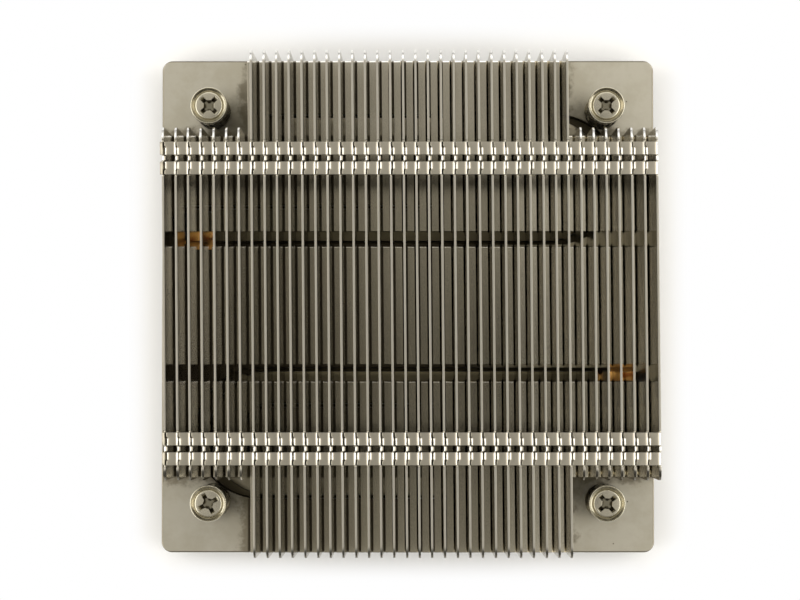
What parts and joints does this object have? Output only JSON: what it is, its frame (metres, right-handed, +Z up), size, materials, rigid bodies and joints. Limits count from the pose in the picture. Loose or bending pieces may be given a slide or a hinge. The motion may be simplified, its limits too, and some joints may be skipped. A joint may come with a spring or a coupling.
{
  "type": "passive server cpu heatsink",
  "caption": "Low square heatsink: a plated base plate with flattened heat pipes, interlocked folded fins and captive spring screws at its corners.",
  "frame": {"origin": "middle of the base plate's flat underside, the face that meets the processor", "axes": "+Z up through the fins, +Y along the fins (the air's way), +X across the fins"},
  "size_m": [0.0953, 0.095, 0.0305],
  "materials": {
    "plated_base": "satin nickel plate over copper",
    "plated_pipe": "satin nickel plate, bare copper nose",
    "plated_fin": "satin nickel plate over thin aluminium sheet",
    "plated_screw": "bright nickel plated steel",
    "clip_steel": "oiled spring steel",
    "spring_steel": "bright drawn spring wire"
  },
  "bodies": {
    "heatsink": {"base_plate": "plated_base", "heat_pipe_front": "plated_pipe", "heat_pipe_rear": "plated_pipe", "fin_01": "plated_fin", "fin_02": "plated_fin", "fin_03": "plated_fin", "fin_04": "plated_fin", "fin_05": "plated_fin", "fin_06": "plated_fin", "fin_07": "plated_fin", "fin_08": "plated_fin", "fin_09": "plated_fin", "fin_10": "plated_fin", "fin_11": "plated_fin", "fin_12": "plated_fin", "fin_13": "plated_fin", "fin_14": "plated_fin", "fin_15": "plated_fin", "fin_16": "plated_fin", "fin_17": "plated_fin", "fin_18": "plated_fin", "fin_19": "plated_fin", "fin_20": "plated_fin", "fin_21": "plated_fin", "fin_22": "plated_fin", "fin_23": "plated_fin", "fin_24": "plated_fin", "fin_25": "plated_fin", "fin_26": "plated_fin", "fin_27": "plated_fin", "fin_28": "plated_fin", "fin_29": "plated_fin", "fin_30": "plated_fin", "fin_31": "plated_fin", "fin_32": "plated_fin", "fin_33": "plated_fin", "fin_34": "plated_fin", "fin_35": "plated_fin", "fin_36": "plated_fin", "fin_37": "plated_fin", "fin_38": "plated_fin", "fin_39": "plated_fin", "fin_40": "plated_fin"},
    "spring_body_1": {"spring_1": "spring_steel"},
    "screw_body_1": {"screw_1": "plated_screw", "clip_1": "clip_steel"},
    "spring_body_2": {"spring_2": "spring_steel"},
    "screw_body_2": {"screw_2": "plated_screw", "clip_2": "clip_steel"},
    "spring_body_3": {"spring_3": "spring_steel"},
    "screw_body_3": {"screw_3": "plated_screw", "clip_3": "clip_steel"},
    "spring_body_4": {"spring_4": "spring_steel"},
    "screw_body_4": {"screw_4": "plated_screw", "clip_4": "clip_steel"}
  },
  "joints": [
    {"name": "screw_1_press", "type": "slide", "parent": "heatsink", "child": "spring_body_1", "axis": [0, 0, 1], "range_m": [-0.005, 0], "stiffness_N_per_m": 4000, "springref_m": 0.002, "deforming": ["spring_1"]},
    {"name": "screw_1_turn", "type": "hinge", "parent": "spring_body_1", "child": "screw_body_1", "pos_m": [-0.0375, 0.0375, 0], "axis": [0, 0, 1], "continuous": true},
    {"name": "screw_2_press", "type": "slide", "parent": "heatsink", "child": "spring_body_2", "axis": [0, 0, 1], "range_m": [-0.005, 0], "stiffness_N_per_m": 4000, "springref_m": 0.002, "deforming": ["spring_2"]},
    {"name": "screw_2_turn", "type": "hinge", "parent": "spring_body_2", "child": "screw_body_2", "pos_m": [0.0375, 0.0375, 0], "axis": [0, 0, 1], "continuous": true},
    {"name": "screw_3_press", "type": "slide", "parent": "heatsink", "child": "spring_body_3", "axis": [0, 0, 1], "range_m": [-0.005, 0], "stiffness_N_per_m": 4000, "springref_m": 0.002, "deforming": ["spring_3"]},
    {"name": "screw_3_turn", "type": "hinge", "parent": "spring_body_3", "child": "screw_body_3", "pos_m": [-0.0375, -0.0375, 0], "axis": [0, 0, 1], "continuous": true},
    {"name": "screw_4_press", "type": "slide", "parent": "heatsink", "child": "spring_body_4", "axis": [0, 0, 1], "range_m": [-0.005, 0], "stiffness_N_per_m": 4000, "springref_m": 0.002, "deforming": ["spring_4"]},
    {"name": "screw_4_turn", "type": "hinge", "parent": "spring_body_4", "child": "screw_body_4", "pos_m": [0.0375, -0.0375, 0], "axis": [0, 0, 1], "continuous": true}
  ]
}
